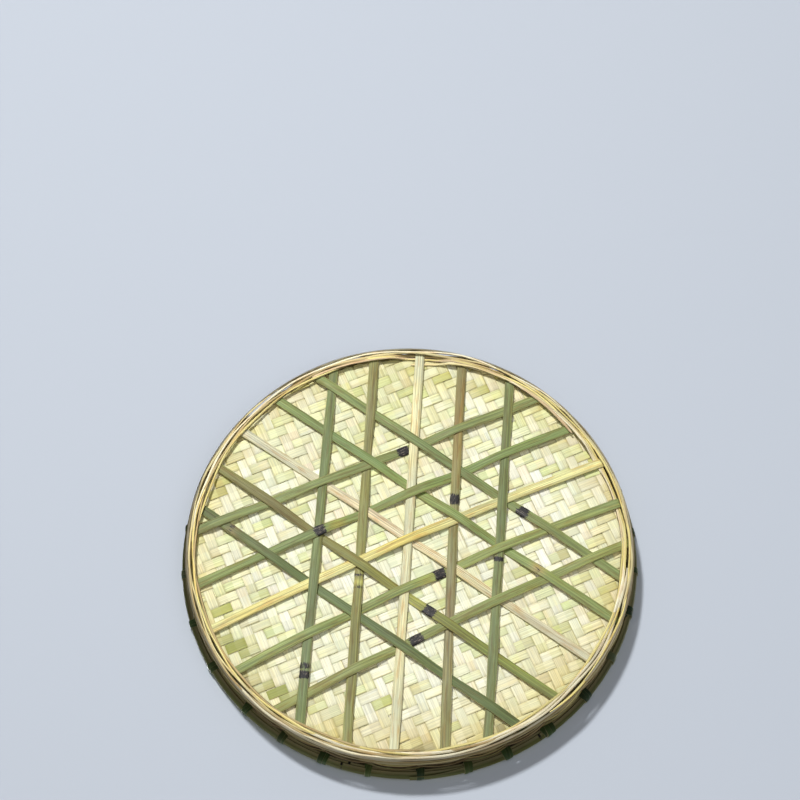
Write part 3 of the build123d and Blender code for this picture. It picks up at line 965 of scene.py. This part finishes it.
def make_rim(green, pale):
    """The outer hoop in two layers, the inner hoop, and fine filler strands between and on top of them."""
    rng = random.Random("rim")
    outer = Strips()
    skin_r = HOOP_HIGH[0] - OUTER_THICK
    hoop(outer, rng, 250, skin_r, HOOP_HIGH[0], 0, HOOP_TALL, HOOP_SECTION, HOOP_GREEN, 5)
    hoop(outer, rng, 70, skin_r - LINER_THICK - LINER_GAP, skin_r - LINER_GAP, 0, HOOP_TALL - 1.0,
         RIB_SECTION, HOOP_OLIVE, 4)
    outer.piece("rim_hoop_outer_splints", green, "rim_hoop_outer")
    inner = Strips()
    hoop(inner, rng, 20, INNER_R - INNER_THICK, INNER_R, 180, HOOP_TALL, HOOP_SECTION, HOOP_PALE, 4)
    inner.piece("rim_hoop_inner_splint", pale, "rim_hoop_inner")
    filler = Strips()
    for level, colour in FILLER_ROWS:
        for place in (-0.6, 0.6):
            ring_strip(filler, rng, rng.uniform(0, 360), FILLER_SWEEP, about(rng, FILLER_R + place, 0.12, 40),
                       about(rng, level + 0.4 * place, 0.35, 50), about(rng, 0, 10, 40), 1.15, 1.05,
                       colour * rng.uniform(0.9, 1.05))
    for place in (FILLER_R, STAKE_R):
        ring_strip(filler, rng, rng.uniform(0, 360), FILLER_SWEEP, about(rng, place, 0.1, 40),
                   about(rng, STAKE_TOP_Z + 0.75, 0.1, 50), about(rng, -90, 6, 40), 1.3, 1.0,
                   GREEN_STRAW * rng.uniform(0.9, 1.05))
    filler.piece("rim_filler_splints", pale, "rim_filler")


LASH_HALF_WIDTH = 2.2
LASH_THICK = 0.6
LASH_CLEAR = 0.05  # between a lashing and the rim
LASH_TURNS = 2.25
LASH_POINTS = 150
LASH_AHEAD = 0.4  # how far ahead along the outline a lashing's direction is taken
LASH_SLANT = 3.4  # how far round the rim a lashing moves in its turns, each way
RIM_ROUND_OUT, RIM_ROUND_IN = 3.4, 1.4


def rim_outline(grow):
    """The closed outline round the whole rim, in (radius, height), as points."""
    high_r, low_r = HOOP_HIGH[0] - RIM_ROUND_OUT, INNER_R - INNER_THICK + RIM_ROUND_IN
    points = []
    for centre_r, rounding, upper, start in (
            (high_r, RIM_ROUND_OUT, False, -90), (high_r, RIM_ROUND_OUT, True, 0),
            (low_r, RIM_ROUND_IN, True, 90), (low_r, RIM_ROUND_IN, False, 180)):
        centre_z = HOOP_HIGH[2] - rounding if upper else HOOP_LOW[2] + rounding
        for degrees in np.linspace(start, start + 90, 8):
            angle = math.radians(degrees)
            points.append((centre_r + (rounding + grow) * math.cos(angle),
                           centre_z + (rounding + grow) * math.sin(angle)))
    points.append(points[0])
    return np.array(points)


def make_lashings(headings, material):
    """Every strip tied round the rim: over two turns, slanting, each laid over the one before."""
    outline = rim_outline(LASH_CLEAR + LASH_THICK / 2)
    lengths = run_lengths(outline)
    turn = lengths[-1]

    def on_outline(place):
        return np.column_stack([np.interp(place % turn, lengths, outline[:, axis]) for axis in (0, 1)])

    strips = Strips()
    for number, heading in enumerate(headings):
        rng = random.Random(f"lashing {number}")
        begin = rng.uniform(0.55, 0.75) * turn
        track = np.linspace(0, turn * (LASH_TURNS + rng.uniform(-0.1, 0.2)), LASH_POINTS)
        flat = on_outline(track + begin)
        run = unit(on_outline(track + begin + LASH_AHEAD) - flat)
        push = LASH_THICK / 2 * (smooth(track, turn * 0.9, turn) + smooth(track, turn * 1.9, turn * 2))
        flat += np.column_stack([run[:, 1], -run[:, 0]]) * push[:, None]
        slant = (track / track[-1] - 0.5) * 2 * LASH_SLANT * rng.uniform(0.5, 1.5) + rng.uniform(-2, 2)
        radial, tangent = headed(math.radians(heading))
        line = flat[:, :1] * radial + flat[:, 1:] * UP + slant[:, None] * tangent
        out = run[:, 1:] * radial - run[:, :1] * UP
        side = unit(np.cross(np.gradient(line, axis=0), out))
        slim = 0.35 + 0.65 * smooth(np.minimum(track, track[-1] - track), 0, 6)
        half_width = LASH_HALF_WIDTH * rng.uniform(0.7, 1.2) * slim
        tint = rng.choice(LASHING_COLOURS) * rng.uniform(0.75, 1.2)
        tint = tint * (1 + wander(rng, 0.25, 22)(track))[:, None]
        strips.add(line, side, out, half_width, LASH_THICK, STRAND_SECTION, track, tint, rng.uniform(0, 90))
    strips.piece("rim_lashing_strips", material, "rim_lashings")


# ---- stage and camera

# Metres from here on. The floor is flat round the basket and then curves up into a wall.
FLOOR_FLAT_R = 2.6
FLOOR_TURN = 4.0
FLOOR_TOP = 8.0
FLOOR_COLOUR, FLOOR_GLOW = (0.86, 0.87, 0.88), 0.45
BACKDROP_COLOUR, BACKDROP_GLOW = (0.50, 0.54, 0.60), 0.0
BACKDROP_GAP = 0.001  # between the rim and the backdrop
STAGE_SIDES = 64
GLOW_FROM, GLOW_TO = 0.3, 2.2  # how far from the basket the floor starts to glow, and glows fully
NEAR_GLOW = 0.35
# What a light may be kept to, as the starts of the pieces' names. The lights from below light only what is seen
# from below, or in the other views they would shine up through the floor.
LIT = {
    "underside": ("mat_", "slat_", "foot_strand_1", "foot_strand_2", "backdrop"),
    "wall": ("wall_strand_", "foot_strand_3"),
    "basket": ("mat_", "slat_", "foot_", "wall_", "rim_"),
}
# (name, direction, distance, size, watts, what it lights: None is everything)
LIGHTS = [
    ("key_below", (0.22, 0.42, -0.88), 4.0, 0.34, 146, "underside"),
    ("fill_below", (-0.15, -0.3, -1.0), 2.2, 1.6, 13, "underside"),
    ("wall_below", (-0.6, 0.1, -1.0), 2.2, 0.5, 13, "wall"),
    ("key_above", (0.45, 0.25, 0.9), 2.2, 0.8, 20, None),
    ("fill_above", (-0.9, 0.3, 0.7), 2.4, 1.6, 12, "basket"),
    ("side_above", (0.6, -0.9, 0.45), 2.4, 2.0, 8, "basket"),
]
SKY_COLOUR, SKY_STRENGTH = (0.93, 0.95, 1.0), 0.17
VIEW_DISTANCE = 1.905
VIEW_TILT = 23.5  # degrees that the main view is turned from straight up at the underside
LENS = 99.0
SENSOR_WIDTH = 36
AIM_RIGHT = -0.00432  # where the view's middle lies from the basket's centre, as slopes
AIM_UP = 0.06591


def stage_material(name, colour, glow):
    """Plain paint on the front face only. Far out, where the lights are weak, it glows."""
    shader = Shader(name)
    paint = shader.principled.inputs
    place = shader.add("ShaderNodeNewGeometry").outputs["Position"]
    reach = shader.add("ShaderNodeVectorMath", {"operation": "LENGTH"}, i0=place).outputs["Value"]
    paint["Emission Color"].default_value = (*colour, 1)
    shader.feed(paint["Emission Strength"], shader.between(reach, GLOW_FROM, GLOW_TO, glow * NEAR_GLOW, glow))
    paint["Base Color"].default_value = (*colour, 1)
    paint["Roughness"].default_value = 0.9
    paint["Specular IOR Level"].default_value = 0.1
    behind = shader.add("ShaderNodeNewGeometry").outputs["Backfacing"]
    clear = shader.add("ShaderNodeBsdfTransparent").outputs[0]
    mix = shader.add("ShaderNodeMixShader", i0=behind, i1=shader.principled.outputs[0], i2=clear)
    shader.links.new(mix.outputs[0], shader.nodes["Material Output"].inputs["Surface"])
    return shader.material


def stage_bowl(name, profile, faces_up, colour, glow):
    """A large round floor from its (radius, height) profile. It is seen from one side and gives no light."""
    count = STAGE_SIDES
    points = [(radius * math.cos(math.tau * k / count), radius * math.sin(math.tau * k / count), level)
              for radius, level in profile for k in range(count)]
    faces = [list(range(count))]
    for low in range(0, (len(profile) - 1) * count, count):
        for k in range(count):
            after = (k + 1) % count
            faces.append([low + count + k, low + count + after, low + after, low + k])
    mesh = bpy.data.meshes.new(name)
    mesh.from_pydata(points, [], faces if faces_up else [face[::-1] for face in faces])
    mesh.polygons.foreach_set("use_smooth", np.ones(len(mesh.polygons), bool))
    mesh.materials.append(stage_material(name, colour, glow))
    bowl = new_object(name, mesh)
    for ray in ("shadow", "diffuse", "glossy", "transmission"):
        setattr(bowl, "visible_" + ray, False)


def gather(name, starts):
    """The collection of the objects whose names start in one of these ways."""
    collection = bpy.data.collections.new(name)
    for obj in bpy.context.scene.objects:
        if obj.name.startswith(starts):
            collection.objects.link(obj)
    return collection


def make_lights():
    """Square soft lights that face the basket, and a faint even sky."""
    lit = {name: gather(name, starts) for name, starts in LIT.items()}
    for name, direction, distance, size, watts, only in LIGHTS:
        data = bpy.data.lights.new(name, "AREA")
        data.size = size
        data.energy = watts
        light = new_object(name, data)
        towards = Vector(direction).normalized()
        light.location = towards * distance
        light.rotation_euler = towards.to_track_quat("Z", "Y").to_euler()
        if only:
            light.light_linking.receiver_collection = lit[only]
    world = bpy.data.worlds.new("studio")
    world.use_nodes = True
    sky = world.node_tree.nodes["Background"].inputs
    sky["Color"].default_value = (*SKY_COLOUR, 1)
    sky["Strength"].default_value = SKY_STRENGTH
    bpy.context.scene.world = world
    bpy.context.scene.view_settings.view_transform = "Standard"


def make_camera():
    """The main view's camera, which looks up at the underside."""
    tilt = math.radians(VIEW_TILT)
    towards = Vector((0, math.sin(tilt), math.cos(tilt)))
    upward = Vector((0, math.cos(tilt), -math.sin(tilt)))
    right = towards.cross(upward)
    forward = (towards + upward * AIM_UP + right * AIM_RIGHT).normalized()
    right = forward.cross(upward).normalized()
    upward = right.cross(forward)
    data = bpy.data.cameras.new("camera")
    data.lens = LENS
    data.sensor_width = SENSOR_WIDTH
    camera = new_object("camera", data)
    turned = Matrix((right, upward, -forward)).transposed().to_4x4()
    camera.matrix_world = Matrix.Translation(-towards * VIEW_DISTANCE) @ turned
    bpy.context.scene.camera = camera


def make_stage():
    """The floor that the basket stands on, a backdrop for the view from below, the lights and the camera."""
    curve = [(FLOOR_FLAT_R + FLOOR_TURN * math.sin(turn), FLOOR_TURN * (1 - math.cos(turn)))
             for turn in np.linspace(0, math.pi / 2, 33)]
    profile = [(FLOOR_FLAT_R / 2, 0.0), *curve, (FLOOR_FLAT_R + FLOOR_TURN, FLOOR_TOP)]
    stage_bowl("floor", profile, True, FLOOR_COLOUR, FLOOR_GLOW)
    stage_bowl("backdrop", [(FLOOR_FLAT_R * 2, HOOP_HIGH[2] * MM + BACKDROP_GAP)], False, BACKDROP_COLOUR,
               BACKDROP_GLOW)
    make_lights()
    make_camera()


# ---- the whole basket

MAT_BAMBOO = bamboo("mat_bamboo", fibre=0.16, streak=0.20, edge_wear_and_shade=0.60, gloss=0.46, relief=0.00010,
                    edge_colour=MAT_EDGE_SHADE)
RIB_BAMBOO = bamboo("rib_bamboo", fibre=0.34, streak=0.42, edge_wear_and_shade=0.40, gloss=0.48, relief=0.00022, blotch=0.8,
                    edge_colour=RIB_EDGE_SHADE)
STRAND_BAMBOO = bamboo("strand_bamboo", fibre=0.20, streak=0.26, edge_wear_and_shade=0.9, gloss=0.46, relief=0.00018,
                       blotch=0.6, edge_colour=STRAND_EDGE_SHADE, edge_from=0.62)
HOOP_BAMBOO = bamboo("hoop_bamboo", fibre=0.22, streak=0.28, edge_wear_and_shade=0.0, gloss=0.50, relief=0.00022, blotch=0.7)
LASHING_BAMBOO = bamboo("lashing_bamboo", fibre=0.22, streak=0.26, edge_wear_and_shade=0.45, gloss=0.40, relief=0.00012,
                        blotch=0.5)

make_mat(MAT_BAMBOO)
stake_headings = sorted(heading for rib in RIBS for heading in make_rib(rib, RIB_BAMBOO))
next_headings = stake_headings[1:] + [stake_headings[0] + 360]
make_outer_foot(STRAND_BAMBOO)
for fan in FOOT_FANS:
    make_foot_fan(STRAND_BAMBOO, *fan)
make_wall(stake_headings, STRAND_BAMBOO)
make_rim(HOOP_BAMBOO, STRAND_BAMBOO)
make_lashings([(here + after) / 2 for here, after in zip(stake_headings, next_headings)], LASHING_BAMBOO)
make_stage()
